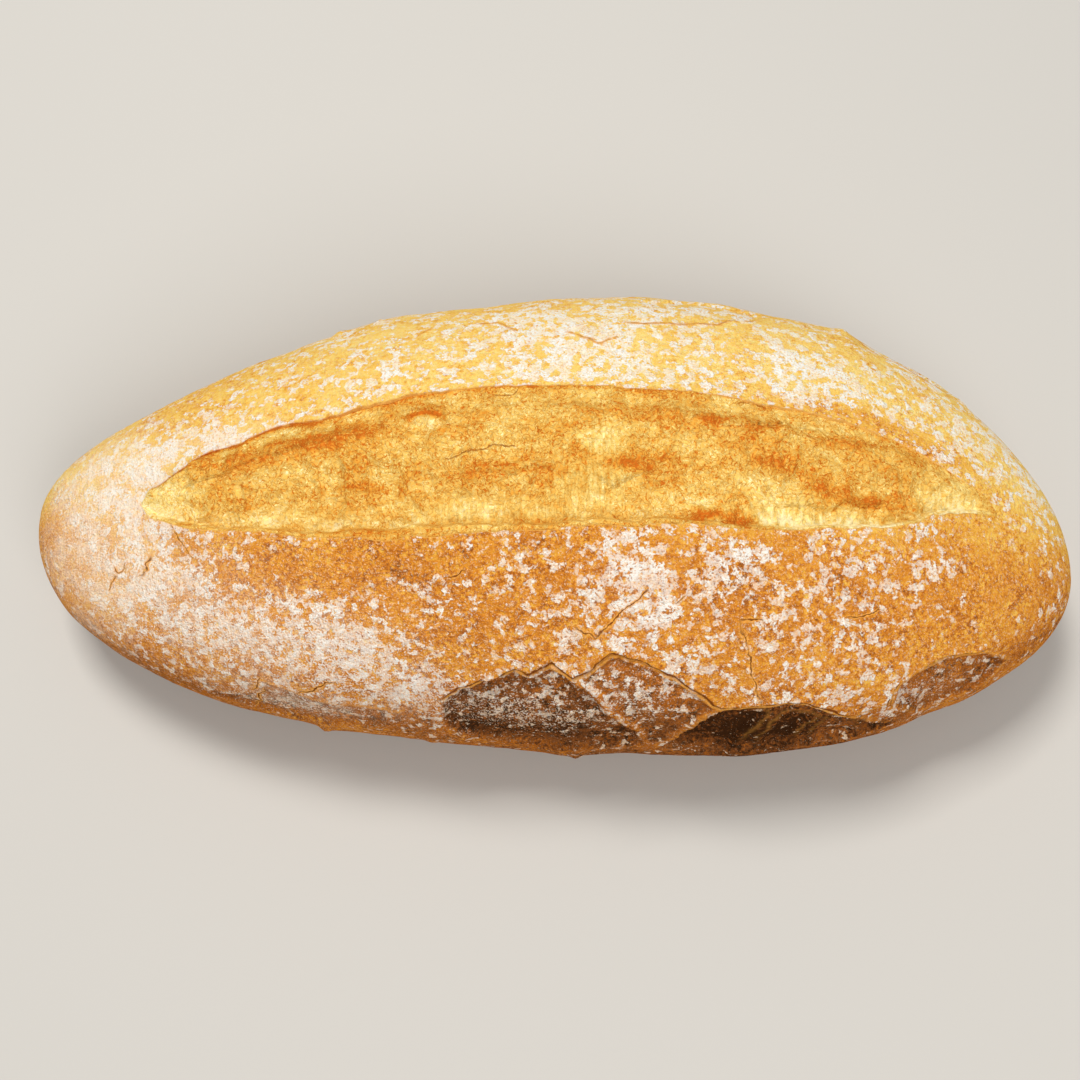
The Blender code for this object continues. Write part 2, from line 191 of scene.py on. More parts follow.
# Rows that follow a line: row number, line, and degrees round the loaf from that line.
ROW_LINES = (
    (0, "bottom", -90), (12, "bottom", -24), (74, "crack", -3), (92, "crack", 3),
    (138, "front lip", -1.5), (143, "front lip", 0), (145, "front lip", 0.3), (151, "back lip", -0.3),
    (153, "back lip", 0), (158, "back lip", 1.5), (222, "bottom", 160), (236, "bottom", 196),
    (246, "bottom", 270),
)
LEAST_SLASH = 1.2  # degrees that the rows keep for the slash where it runs out
CRUMB_STATIONS = 560
CRUMB_ROWS = 146
UNDERSIDE_SHARES = (0.9, 0.1)  # two more rows close it underneath, at these shares of its breadth
CRUMB_ENDS = (-108.6 * MM, 118 * MM)
SLASH_TURN = 1.15 * MM  # distance across the slash for one degree

# ---- colour and flour by place ----
# Levels by degrees round the loaf, one level at the tips, and patches: (X in mm, degrees round, half size
# in mm, half size in degrees, change).
BAKE_ROUND = (
    (-90, 0.62), (-25, 0.68), (-5, 0.64), (12, 0.6), (40, 0.54), (78, 0.52), (92, 0.38), (108, 0.25),
    (140, 0.22), (165, 0.28), (185, 0.42), (210, 0.55), (270, 0.6),
)
TIP_BAKE = 0.42
FLOUR_ROUND = (
    (-90, 0.12), (-30, 0.1), (-8, 0.15), (6, 0.36), (25, 0.5), (60, 0.5), (82, 0.47), (105, 0.53),
    (140, 0.56), (165, 0.45), (190, 0.22), (270, 0.12),
)
TIP_FLOUR = 0.25
MOST_FLOUR = 0.82
TIP_REACH = 0.35  # nearer a tip than this share of the girth, its own level takes over
# Some of the darker patches low on the front, where the loaf turns under, are painted shade.
BAKE_AND_SHADE_PATCHES = (
    (-125, 80, 18, 60, -0.06), (-105, 70, 20, 25, -0.08), (-100, 130, 30, 25, 0.12),
    (-60, 66, 20, 12, -0.04), (118, 28, 16, 16, 0.06), (128, 34, 7, 14, 0.09), (118, 60, 24, 34, -0.05),
    (75, 111.5, 24, 3, 0.2), (98, 107, 14, 4, 0.2), (-36, 12, 12, 10, 0.1), (58, -6, 34, 10, 0.26),
    (-4, -5, 28, 7, 0.12), (-62, 17, 9, 5, 0.1), (-72, 0, 34, 8, -0.04), (-100, 4, 30, 14, 0.08),
    (56, 15, 24, 10, 0.14), (-10, 8, 24, 9, 0.05), (91, 15, 6, 8, 0.14), (122, 28, 9, 8, 0.06),
)
FLOUR_PATCHES = (
    (-122, 82, 14, 32, 0.25), (-105, 70, 9, 23, 0.35), (-110, 99, 17, 15, 0.3), (-93, 104, 13, 8, 0.4),
    (-88, 55, 17, 18, 0.12), (-64, 66, 14, 7, -0.45), (-45, 69, 18, 6, -0.4), (-75, 44, 17, 16, 0.05),
    (-53, 48, 13, 15, 0.15), (-39, 29, 14, 14, 0.05), (-31, 60, 7, 6, 0.15), (-18, 71, 11, 5, -0.15),
    (-13, 50, 14, 12, -0.15), (18, 73, 8, 7, 0.45), (25, 63, 6, 11, 0.4), (17, 57, 6, 6, 0.2),
    (41, 74, 6, 5, 0.25), (50, 76, 4, 3, 0.3), (75, 74, 7, 6, 0.15), (98, 78, 8, 6, 0.15),
    (96, 50, 14, 12, -0.25), (118, 66, 14, 33, -0.45), (80, 53, 7, 5, 0.15), (-8, 29, 20, 11, 0.15),
    (24, 36, 14, 12, 0.1), (54, 18, 25, 10, -0.25), (90, 25, 8, 8, 0.25), (-102, 134, 20, 16, -0.2),
    (-67, 122, 17, 13, -0.14), (-36, 128, 11, 10, -0.1), (-43, 119, 4, 6, 0.3), (-9, 136, 11, 6, 0.3),
    (7, 127, 14, 11, 0.35), (24, 139, 11, 7, 0.4), (2, 115, 17, 4, 0.2), (28, 116, 14, 5, 0.15),
    (64, 122, 8, 9, 0.45), (51, 127, 4, 9, -0.3), (74, 118, 8, 7, 0.25), (86, 143, 7, 12, -0.25),
    (88, 120, 8, 8, 0.15), (96, 116, 6, 8, -0.2), (108, 120, 8, 17, 0.15), (123, 128, 7, 23, 0.1),
    (133, 108, 4, 28, 0.25), (100, 147, 11, 9, 0.3), (75, 111.5, 24, 3, -0.2),
    (-134, 78, 12, 80, -0.25), (-62, 58, 8, 8, 0.2), (-50, 42, 6, 6, 0.3), (-33, 33, 5, 5, 0.3),
    (-72, 50, 7, 6, 0.2), (-70, 2, 30, 6, -0.15), (131, 20, 10, 22, -0.25), (100, 26, 12, 10, -0.2),
)
# A thin even veil of flour over the crust, and fine dust in single grains, by place.
VEIL_PATCHES = (
    (-117, 78, 11, 44, 0.75), (-106, 100, 12, 12, 0.5), (-88, 106, 14, 5, 0.6),
    (-102, 62, 14, 18, 0.45), (-131, 78, 13, 80, 0.6), (-66, 16, 22, 8, 0.4), (-50, 44, 16, 13, 0.2),
    (-34, 28, 8, 8, 0.25), (22, 66, 8, 8, 0.15), (-82, 44, 22, 18, 0.42),
)
DUST_PATCHES = (
    (-16, 22, 14, 12, 0.42), (2, 18, 16, 12, 0.33), (22, 30, 12, 12, 0.35), (-52, 38, 20, 18, 0.55),
    (-34, 26, 10, 12, 0.3), (-84, 42, 22, 24, 0.4), (-112, 50, 20, 30, 0.3), (-70, 12, 26, 9, 0.5),
    (98, 24, 12, 12, 0.42), (30, 50, 60, 14, 0.15),
)
MOST_VEIL = 0.75
# Toasting of the torn crumb across the slash, from its front lip to its back lip.
TOAST_ACROSS = (
    (-0.05, 0.54), (0, 0.52), (0.08, 0.5), (0.13, 0.4), (0.2, 0.46), (0.35, 0.5), (0.6, 0.5),
    (0.85, 0.48), (1.05, 0.54),
)
# A painted shadow line along the back lip, under the crust's edge, which fades out and in along X, and the
# same painted shade beside it on the crumb.
LIP_SHADOW = (
    (-109, 0.1), (-104, 0.5), (-98, 0.9), (-86, 1), (-80, 0.5), (-76, 0.9), (-66, 0.8), (-54, 0.5),
    (-30, 0.4), (0, 0.45), (30, 0.35), (60, 0.2), (119, 0),
)
LIP_SHADOW_WIDTH = 0.4 * MM
LIP_SHADE_ON_CRUMB = 0.4
LIP_SHADE_ON_CRUMB_WIDTH = 1.1 * MM
TOAST_WAVER = 1.6 * MM  # the edges of the toasted patches waver by this much
TOAST_WAVER_SIZE = 2.6 * MM
# More and less toasted patches: (X, Y, half size in X, half size in Y, change), with lengths in mm.
TOAST_PATCHES = (
    (-105, 0, 9, 9, -0.5), (-85, 12, 6, 1.2, -0.2), (-69, 15.5, 6, 1.4, -0.35), (-80, 9, 13, 3.5, 0.3),
    (-58, 12, 12, 3.5, 0.3), (-46, 15, 8, 3, 0.3), (-36, 21, 7, 1.5, 0.15), (-21, 16.5, 6, 2.5, 0.2),
    (-12, 12, 6, 4, -0.1), (-48, -1, 9, 1.6, 0.3), (-12, 2, 12, 1.5, 0.4), (-30, 0, 8, 2, 0.1),
    (-82, -7, 8, 2, -0.15), (-71, -8, 8, 1.2, -0.25), (-54, -11, 5, 1.2, -0.3),
    (-35, -11, 5, 1.4, -0.35), (-48, -13, 10, 1.6, 0.15), (-12, -11, 16, 1.2, 0.12),
    (-20, -7, 12, 2.5, -0.1), (-70, 12.6, 9, 1.3, 0.2), (-69, 18.2, 7, 1.0, 0.2), (2, -8, 3, 5, 0.1),
    (12, 10, 5, 3, -0.3), (22, 14, 4, 2, -0.15), (20, 18, 14, 2.5, 0.2), (8, 7, 3, 1.5, 0.25),
    (19, 3, 6, 2, 0.3), (29, 5, 5, 2, 0.2), (27, -1, 3, 2.5, 0.15), (42, 17, 4, 1.8, 0.35),
    (52, 15, 7, 2.8, 0.25), (51, 1, 9, 4, -0.1), (56, 5, 5, 2, 0.35), (63, 12, 5, 2, -0.1),
    (75, 12, 12, 2.5, 0.26), (95, 7, 12, 3, 0.08), (63, 3, 5, 2, 0.2), (71, -1, 6, 3, 0.35),
    (80, -3.5, 9, 2, 0.4), (91, -2, 5, 2, 0.15), (56, -5, 9, 3, -0.2), (80, -10, 26, 2.2, -0.5),
    (105, -5, 10, 4, -0.3), (110, 0, 12, 9, -0.12), (46, -3, 7, 3, 0.1), (35, -10, 5, 1.5, 0.35),
    # (40, -5.5, ...) is a painted highlight just above the flap's upper edge.
    (42, -9, 8, 2.2, 0.6), (49, -10.5, 4, 1.5, 0.35), (56, -9.5, 5, 2, -0.3), (40, -5.5, 8, 1.2, -0.25),
)

# Where the crumb tore in strands across the slash: (X, Y, half sizes, strength), with lengths in mm.
STRAND_PATCHES = (
    (9, -2, 10, 7, 0.9), (-22, -8, 10, 4, 0.8), (14, 9, 6, 4, 0.5), (60, -8, 12, 3, 0.9),
    (84, -9, 16, 3, 0.9), (104, -3, 8, 6, 0.8), (-4, -9, 10, 3, 0.7), (-60, -8, 14, 3, 0.4),
)

# ---- fine cracks: each is a line of (millimetres along X, degrees round the loaf) ----
CRACK_ENDS = (-31, 116)  # the broad crack shows between these, in millimetres along X
CRACK_END_FADES = (5, 8)  # and fades in and out over these lengths
CRACK_GROUPS = {
    "rift": (FRONT_CRACK,),
    "fine": (
        ((10.7, 51), (15.9, 58.5), (23.7, 65.5)),
        ((46.4, 59), (48.9, 58.5), (52.5, 59)),
        ((74.2, 61), (78, 61), (82.9, 63.5)),
        ((-26.2, 66.5), (-22.4, 68.5)),
        ((30.7, 62.5), (33.3, 65)),
        ((-116.1, 63), (-114.5, 59), (-112, 64.5)),
        ((-80.3, 2.5), (-78.6, 8.5), (-76.4, 17), (-74.7, 20.5)),
        ((-66, 22.5), (-62.1, 25), (-58.6, 30), (-55, 29.5)),
        ((19.8, 133.5), (29.4, 133.5), (46.4, 136.5), (51.9, 141), (58, 144.5)),
        ((-19.8, 136.5), (-13.3, 135), (-9.4, 129.5)),
        ((84, 157), (89.7, 146.5), (98.2, 147), (106, 143), (113.3, 145)),
        ((-37, 133), (-32.5, 136)),
    ),
    "cross": (
        ((6, 54.5), (10.7, 51)),
        ((46.4, 59), (48.6, 48), (51, 37.5), (53, 31)),
        ((-114.5, 59), (-117.5, 50)),
        ((3.6, 129), (13.3, 124), (18.5, 127.5)),
        ((-75, 27), (-78, 19)),
        ((-98.5, 79), (-95.5, 73.5), (-93, 68)),
        ((-107.8, 60.5), (-106, 65), (-104, 68)),
    ),
}
CRUMB_CRACKS = (
    ((-28.2, 94.5), (-21.7, 95.5), (-16.6, 96.5), (-9.4, 96.5)),
    ((-14.6, 108), (-10.7, 108.5), (-8.8, 110)),
    ((48.3, 108.5), (52.5, 109.5), (56.2, 108.5)),
)
# Lines in the torn crumb along which it steps up towards the back.
CRUMB_LEDGES = (
    ((-38.5, 101.5), (-36.4, 104.5), (-32.6, 105.2), (-28.8, 104.5), (-26.5, 102)),
    ((-20, 91.5), (-12, 92), (0, 92.5)),
    ((-95, 90), (-80, 95), (-62, 98), (-50, 101)),
    ((10, 91.5), (17, 91), (24, 92)),
    ((56, 90), (68, 89.5), (84, 91.5)),
    ((30, 104), (45, 103), (60, 105)),
)
CRACK_REACH = 2.5 * MM  # a crack's lines act only this near
CRACK_FADE = 1.5 * MM  # and fade out over this length at its ends
LEDGE_RISE = 0.7 * MM
LEDGE_DROP = 0.8  # on its near side a ledge drops by this share of its rise
LEDGE_REACH = 1.2 * MM
# Width of the torn ledge that the crumb leaves behind the front lip: (X, width), in mm.
FRONT_LEDGE = (
    (-109, 0.3), (-70, 0.5), (-50, 1.2), (-38, 2.4), (-24, 2), (-5, 1), (25, 1.2), (45, 0.6), (119, 0.3),
)
BLISTER = (-32.8, 15.3, 6.2, 3.5)  # a burst blister: its middle and half size in X and Y, in mm
BLISTER_DEPTH = 1.3 * MM
BLISTER_EDGE = 0.3  # share of its half size in which it drops
BLISTER_SHADOW = 0.72  # its far edge is painted this much darker, as shadow under its rim
BLISTER_RING = (0.9, 0.16)  # that edge's middle and half width, as shares of its half size
BLISTER_FLOOR = 0.3  # its floor is toasted less by this share of that

# ---- colours, as a screen shows them ----
CRUST_COLOURS = (
    (0.0, (255, 234, 158)), (0.2, (253, 212, 108)), (0.35, (244, 184, 76)), (0.5, (226, 146, 49)),
    (0.64, (192, 110, 37)), (0.83, (134, 78, 38)), (1.0, (64, 38, 20)),
)
SPECK_COLOUR = (252, 214, 164)
FLOUR_COLOURS = ((0.32, (250, 216, 180)), (0.56, (255, 253, 247)))
VEIL_COLOUR = (255, 232, 206)
TORN_EDGE_COLOUR = (246, 190, 98)
# The painted shadow under the back lip's curled edge.
LIP_SHADOW_COLOUR = (196, 96, 24)
# Rims beside cracks and facets: partly paler torn crust, partly painted highlight.
TAN_RIM_AND_HIGHLIGHT_COLOUR = (246, 174, 80)
# Also the painted shadow in the rift's gap, under its curled upper edge.
CRACK_COLOUR = (138, 64, 20)
PALE_CRACK_COLOUR = (206, 134, 52)  # of cracks where the crust baked pale
CRUMB_CRACK_COLOUR = (170, 94, 28)
CRUMB_COLOURS = (
    (0.0, (255, 240, 188)), (0.2, (253, 226, 146)), (0.4, (239, 200, 108)), (0.58, (230, 180, 86)),
    (0.74, (223, 158, 61)), (0.88, (216, 137, 46)), (1.0, (202, 107, 31)),
)
FLOOR_COLOUR = (196, 194, 190)

# ---- stage, in metres ----
FLOOR_HALF = 4.0
LAMPS = (  # name, place, side, watts and colour
    ("key", (-0.25, 0.45, 1.25), 0.4, 13.4, (1.0, 0.97, 0.92)),
    ("front fill", (0.35, -0.9, 1.0), 0.8, 9.6, (1.0, 0.97, 0.93)),
)
LAMP_AIM = (0, 0, 0.03)
SKY_COLOUR = (1.0, 0.99, 0.97, 1.0)
SKY_STRENGTH = 0.32
CAMERA_PLACE = (-0.0032, -0.13696, 0.38590)
CAMERA_TILT = 20  # degrees from straight down, as in the photograph
CAMERA_LENS = 45  # this and the sensor's width in mm
CAMERA_SENSOR = 36


# ---- curves and noise ----
def smooth_curve(knots, at):
    """A smooth curve through the knots (place, value), read at the places AT and level past its ends."""
    place, value = np.array(knots, float).T
    slope = np.gradient(value, place)
    at = np.clip(at, place[0], place[-1])
    left = np.clip(np.searchsorted(place, at, side="right") - 1, 0, len(place) - 2)
    gap = place[left + 1] - place[left]
    part = (at - place[left]) / gap
    start, end = value[left], value[left + 1]
    bend_start, bend_end = slope[left] * gap, slope[left + 1] * gap
    return (start + part * bend_start + part**2 * (3 * (end - start) - 2 * bend_start - bend_end)
            + part**3 * (2 * (start - end) + bend_start + bend_end))


def straight_line(knots, at):
    """The straight lines through the knots (place, value), read at the places AT."""
    place, value = np.array(knots, float).T
    return np.interp(at, place, value)


def smooth_step(value):
    """0 below 0, 1 above 1, and a smooth rise between."""
    value = np.clip(value, 0, 1)
    return value * value * (3 - 2 * value)


def lumps(point, size, seed, lattice=FINE_LATTICE):
    """Smooth random lumps of about this size, between -1 and 1, at points in space."""
    value = np.random.default_rng(seed).uniform(-1, 1, (lattice, lattice, lattice))
    cell = np.floor(point / size)
    part = smooth_step(point / size - cell)
    total = 0
    for corner in product((0, 1), repeat=3):
        weight = np.prod(np.where(corner, part, 1 - part), axis=-1)
        x, y, z = np.moveaxis((cell + corner).astype(int) % lattice, -1, 0)
        total = total + weight * value[x, y, z]
    return total


def patches(places, x, across):
    """The sum of soft oval patches, each (X, place across, half size in X, half size across, amount)."""
    total = np.zeros(np.shape(x))
    for at_x, at_side, half_x, half_side, amount in places:
        total += amount * np.exp(-((x - at_x) / half_x) ** 2 - ((across - at_side) / half_side) ** 2)
    return total


# ---- the smooth form ----
def bare_loaf(along, turn):
    """Points of the smooth form. ALONG runs from 0 at the left tip to pi at the right tip, and TURN goes
    round it in degrees: 0 at the front, 90 at the top, 180 at the back and 270 underneath."""
    reach = -np.cos(along)
    slim = np.sin(along)
    side, rise = np.cos(np.radians(turn)), np.sin(np.radians(turn))
    power = np.where(rise > 0, 2 / ROOF_POWER, 2 / BELLY_POWER)
    side_share = np.sign(side) * np.abs(side) ** power
    rise_share = np.sign(rise) * np.abs(rise) ** power
    half_width = np.where(side > 0, smooth_curve(FRONT_REACH, reach), smooth_curve(BACK_REACH, reach)) * MM
    roof = smooth_curve(ROOF_HEIGHT, reach) * MM * slim
    belly = UNDERSIDE_DEPTH * np.sqrt(np.clip(1 - np.abs(reach) ** BASE_POWER, 0, 1))
    x = reach * LENGTH / 2
    y = straight_line(CENTRE_LINE, reach) * MM - side_share * half_width * slim
    z = WIDEST_LEVEL + rise_share * np.where(rise > 0, roof, belly)
    return np.stack([x, y, z], axis=-1)


def outward(along, turn):
    """The smooth form's outward direction at each point."""
    step = 0.01
    inner = np.clip(along, 2 * step, np.pi - 2 * step)
    down_the_loaf = bare_loaf(inner + step, turn) - bare_loaf(inner - step, turn)
    round_the_loaf = bare_loaf(inner, turn + 1) - bare_loaf(inner, turn - 1)
    normal = np.cross(down_the_loaf, round_the_loaf)
    return normal / np.linalg.norm(normal, axis=-1, keepdims=True)


def raised(along, turn, relief):
    """The smooth form raised by the relief, on the floor and centred as the CAD model is."""
    point = bare_loaf(along, turn) + outward(along, turn) * relief[..., None]
    point[..., 1] -= FOOTPRINT_MIDDLE
    point[..., 2] = np.maximum(point[..., 2], 0)
    return point


def ragged(x, turn):
    """Points in metres along and round the shoulder, shifted a little so that broken edges run raggedly."""
    point = np.stack([x, turn * SHOULDER_TURN], axis=-1)
    place = np.concatenate([point, np.zeros(point.shape[:-1] + (1,))], axis=-1)
    for size, height in FACET_WAVER:
        shift = [height * MM * lumps(place, size * MM, seed) for seed in (41, 42)]
        point = point + np.stack(shift, axis=-1)
    return point


def distance_to(corner, point):
    """Distance of each point from the nearest part of the line through the corners."""
    nearest = np.full(point.shape[:-1], np.inf)
    for start, end in zip(corner, corner[1:]):
        edge = end - start
        share = np.clip((point - start) @ edge / (edge @ edge), 0, 1)
        nearest = np.minimum(nearest, np.linalg.norm(point - start - share[..., None] * edge, axis=-1))
    return nearest


def depth_inside(outline, point):
    """How far each point on the shoulder lies inside an outline, in metres, and below 0 outside it."""
    corner = np.array(outline + outline[:1], float) * (MM, SHOULDER_TURN)
    inside = np.zeros(point.shape[:-1], bool)
    for start, end in zip(corner, corner[1:]):
        edge = end - start
        crosses = (start[1] > point[..., 1]) != (end[1] > point[..., 1])
        rise = edge[1] if edge[1] else 1.0
        inside ^= crosses & (point[..., 0] < start[0] + edge[0] * (point[..., 1] - start[1]) / rise)
    nearest = distance_to(corner, point)
    return np.where(inside, nearest, -nearest)


def side_of_line(line, point):
    """Distance from a line on the loaf, above 0 on its far side and below 0 on its near side, in metres,
    and how strongly the line acts there, from 0 to 1."""
    corner = np.array(line, float) * (MM, SHOULDER_TURN)
    nearest = distance_to(corner, point)
    runs_along = np.all(np.diff(corner[:, 0]) > 0)
    run, aside = (0, 1) if runs_along else (1, 0)
    corner = corner[np.argsort(corner[:, run])]
    beyond = point[..., aside] - np.interp(point[..., run], corner[:, run], corner[:, aside])
    inside = np.minimum(point[..., run] - corner[0, run], corner[-1, run] - point[..., run])
    power = smooth_step(inside / CRACK_FADE + 0.3) * smooth_step(2 - nearest / CRACK_REACH * 2)
    return np.where(beyond >= 0, nearest, -nearest), power


def nearest_line(lines, point):
    """The same for the nearest line of a group that acts at each point."""
    side = np.full(point.shape[:-1], CRACK_REACH)
    power = np.zeros(side.shape)
    for line in lines:
        line_side, line_power = side_of_line(line, point)
        stronger = (line_power > 0) & (np.abs(line_side) < np.abs(side))
        side = np.where(stronger, line_side, side)
        power = np.where(stronger, line_power, power)
    return np.clip(side, -CRACK_REACH, CRACK_REACH), power


def line_values(group, lines, point):
    """Both for a group of cracks, by the names that the materials use, with the distance in mm."""
    side, power = nearest_line(lines, point)
    return {group + "_side": side / MM, group + "_power": power}


# ---- the slash ----
def lip_turn(knots, x, seed):
    """Degrees round the loaf of a lip, wavering a little as torn crust does."""
    point = np.stack([x, np.zeros(x.shape), np.zeros(x.shape)], axis=-1)
    waver = sum(degrees * lumps(point, size * MM, seed) for size, degrees in LIP_WAVER)
    inside = np.minimum(x - knots[0][0] * MM, knots[-1][0] * MM - x)
    return smooth_curve(knots, x / MM) + waver * smooth_step(inside / FULL_SLASH)


def lips(x):
    """Degrees round the loaf of both lips."""
    return lip_turn(FRONT_LIP, x, seed=11), lip_turn(BACK_LIP, x, seed=12)


def slash_place(along, turn):
    """Where each point lies: X, Y, the Y of both lips, and how strongly the slash shows there, 0 to 1."""
    place = bare_loaf(along, turn)
    x, y = place[..., 0], place[..., 1]
    front, back = (bare_loaf(along, lip)[..., 1] for lip in lips(x))
    strength = smooth_step(np.maximum(back - front, 0) / FULL_SLASH)
    strength = np.where((x > FRONT_LIP[0][0] * MM) & (x < FRONT_LIP[-1][0] * MM), strength, 0)
    return x, y, front, back, strength


def crust_at_slash(along, turn):
    """The crust curls up along both lips, and lies deep under the crumb between them."""
    _, y, front, back, strength = slash_place(along, turn)
    inside = np.minimum(y - front, back - y)
    sunk = smooth_step(inside / WALL)
    front_curl = LIP_RISE * np.exp(-(((y - front) / LIP_SPREAD) ** 2))
    back_curl = BACK_LIP_RISE * np.exp(-(((y - back) / LIP_SPREAD) ** 2))
    curl = np.where(y < (front + back) / 2, front_curl, back_curl)
    return strength * (curl * (1 - sunk) - HIDDEN_FLOOR * sunk)


def ridges(point, size, seed):
    """Narrow crests between broad hollows, between 0 and 1."""
    return (1 - np.abs(lumps(point, size, seed))) ** 3


def warped(place):
    """The places shifted to and fro, so that lumps read there follow no straight grid."""
    for size, shift in CRUMB_WARP:
        moved = [shift * MM * lumps(place, size * MM, seed) for seed in (51, 52, 53)]
        place = place + np.stack(moved, axis=-1)
    return place


def torn_surface(place):
    """Lumps and thin crests of torn crumb at these places, in metres."""
    rough = CRUMB_LUMP * lumps(place, CRUMB_LUMP_SIZE, 1, LATTICE)
    place = warped(place)
    for size, height, stretch in CRUMB_RELIEF:
        rough = rough + height * MM * lumps(place * stretch, size * MM, 21)
    for size, height, stretch in CRUMB_RIDGES:
        rough = rough + height * MM * (ridges(place * stretch, size * MM, 22) - RIDGE_MIDDLE)
    return rough


def blister_reach(x, y):
    """0 in the middle of the blister and 1 on its edge."""
    return np.hypot((x / MM - BLISTER[0]) / BLISTER[2], (y / MM - BLISTER[1]) / BLISTER[3])


def crumb_relief(along, turn):
    """The torn crumb: its edge behind the front lip, swells, flap, lumps, crests, ledges and blister."""
    x, y, front, back, strength = slash_place(along, turn)
    place = bare_loaf(along, turn)
    share = (y - front) / np.maximum(back - front, MM)
    rough = torn_surface(place)
    swell = patches(CRUMB_SWELLS, x / MM, y / MM) * MM
    off_flap = ((x - FLAP_CENTRE[0]) / FLAP_HALF[0]) ** 2 + ((y - FLAP_CENTRE[1]) / FLAP_HALF[1]) ** 2
    crumb = straight_line(CRUMB_PROFILE, share) * MM + swell + rough + FLAP_RISE * np.exp(-off_flap)
    side, power = nearest_line(CRUMB_LEDGES, ragged(x, turn))
    step = np.where(side > 0, 1, -LEDGE_DROP) * np.exp(-np.abs(side) / LEDGE_REACH)
    crumb = crumb + LEDGE_RISE * power * step
    crumb = crumb - BLISTER_DEPTH * smooth_step((1 - blister_reach(x, y)) / BLISTER_EDGE)
    edge = LIP_RISE - CRUST_THICKNESS + rough * EDGE_ROUGHNESS
    ledge = smooth_curve(FRONT_LEDGE, x / MM) * MM
    crumb = edge + (crumb - edge) * smooth_step((y - front - ledge) / TEAR_WIDTH)
    flush = smooth_step((x - FLUSH_FROM) / FLUSH_LENGTH) * smooth_step(1 - (back - y) / FLUSH_WIDTH)
    crumb = crumb + (BACK_LIP_RISE - CRUST_THICKNESS + rough * FLUSH_ROUGHNESS - crumb) * flush
    tucked = np.clip(np.maximum(front - y, y - back) / TUCK, 0, 1)
    return strength * crumb - TUCK_DEPTH * tucked - END_SINK * (1 - strength)


# ---- relief of the crust ----
def crack_presence(x):
    """1 where the broad crack in the shoulder shows, and 0 past its ends."""
    left = smooth_step((x / MM - CRACK_ENDS[0]) / CRACK_END_FADES[0])
    return left * smooth_step((CRACK_ENDS[1] - x / MM) / CRACK_END_FADES[1])


def shoulder_relief(along, turn):
    """Facets where the crust broke away, the crack in the shoulder and the curled edge above it."""
    x = bare_loaf(along, turn)[..., 0]
    point = ragged(x, turn)
    relief = np.zeros(x.shape)
    for depth, _, _, outline in SUNKEN_FACETS + SMALL_FACETS:
        relief -= depth * smooth_step((depth_inside(outline, point) - FACET_SHELF) / FACET_EDGE)
    side, _ = side_of_line(FRONT_CRACK, point)
    shows = crack_presence(x)
    relief += CRACK_RISE * shows * np.where(side >= 0, np.exp(-side / CRACK_CURL), 0)
    shows = shows * smooth_step((turn - STEP_FROM) / STEP_RISE)
    relief -= CRACK_STEP * shows * np.where(side < 0, np.exp(side / CRACK_STEP_WIDTH), 0)
    return relief - GROOVE_DEPTH * shows * np.exp(-((side / GROOVE_WIDTH + 1) ** 2))


def outline_relief(along, turn):
    """Slow waves over the crust, small lumps, torn flakes, and bumps that make the outline uneven."""
    point = bare_loaf(along, turn)
    x = point[..., 0]
    relief = sum(height * MM * lumps(point, size * MM, size, LATTICE) for size, height in CRUST_WAVES)
    for size, height in CRUST_LUMPS:
        relief = relief + height * MM * lumps(point, size * MM, 31)
    relief = relief + patches(FLAKES, x / MM, turn) * MM
    for place, side, rise, half_width in OUTLINE_BUMPS:
        off = ((x / MM - place) / half_width) ** 2 + ((turn - side) / BUMP_TURN) ** 2
        relief += rise * MM * np.exp(-off)
    return relief * np.sin(along)


# ---- meshes ----
def placed(name, data):
    """A new object with this data, in the scene."""
    item = bpy.data.objects.new(name, data)
    bpy.context.scene.collection.objects.link(item)
    return item


def row_turn(along, row):
    """Degrees round the loaf at a row number. The rows bunch up at the lines that ROW_LINES names."""
    x = bare_loaf(along, np.zeros(along.shape))[..., 0]
    front, back = lips(x)
    middle, half = (front + back) / 2, np.maximum((back - front) / 2, LEAST_SLASH / 2)
    line = {"bottom": np.zeros(x.shape), "crack": straight_line(FRONT_CRACK, x / MM),
            "front lip": middle - half, "back lip": middle + half}
    turn = np.zeros(x.shape)
    for (low, low_line, low_add), (high, high_line, high_add) in zip(ROW_LINES, ROW_LINES[1:]):
        share = (row - low) / (high - low)
        between = (line[low_line] + low_add) * (1 - share) + (line[high_line] + high_add) * share
        turn = np.where((row >= low) & (row <= high), between, turn)
    return turn


def closed_tube(name, rings, start, end, values):
    """A closed mesh of rings along the loaf, drawn together at one point at each end. VALUES are numbers by
    name for each point of the rings, kept on the mesh for the materials."""
    count, around = rings.shape[:2]
    point = np.concatenate([rings.reshape(-1, 3), [start, end]])
    first = np.arange(around)
    following = (first + 1) % around
    ring = np.arange(count - 1)[:, None] * around
    here, beyond = ring + first, ring + following
    quads = np.stack([here, beyond, beyond + around, here + around], axis=-1).reshape(-1, 4)
    last = (count - 1) * around
    start_fan = np.stack([following, first, np.full(around, count * around)], axis=-1)
    end_fan = np.stack([last + first, last + following, np.full(around, count * around + 1)], axis=-1)
    mesh = bpy.data.meshes.new(name)
    mesh.from_pydata(point.tolist(), [], quads.tolist() + start_fan.tolist() + end_fan.tolist())
    for key, value in values.items():
        level = np.concatenate([value.ravel(), [value[0].mean(), value[-1].mean()]])
        mesh.attributes.new(key, "FLOAT", "POINT").data.foreach_set("value", level.astype(np.float32))
    mesh.shade_smooth()
    mesh.update()
    return placed(name, mesh)


def round_level(levels, tip_level, along, turn):
    """A level that changes round the loaf, and draws together to one level at the tips."""
    shown = smooth_step(np.sin(along) / TIP_REACH)
    return tip_level + (smooth_curve(levels, turn) - tip_level) * shown


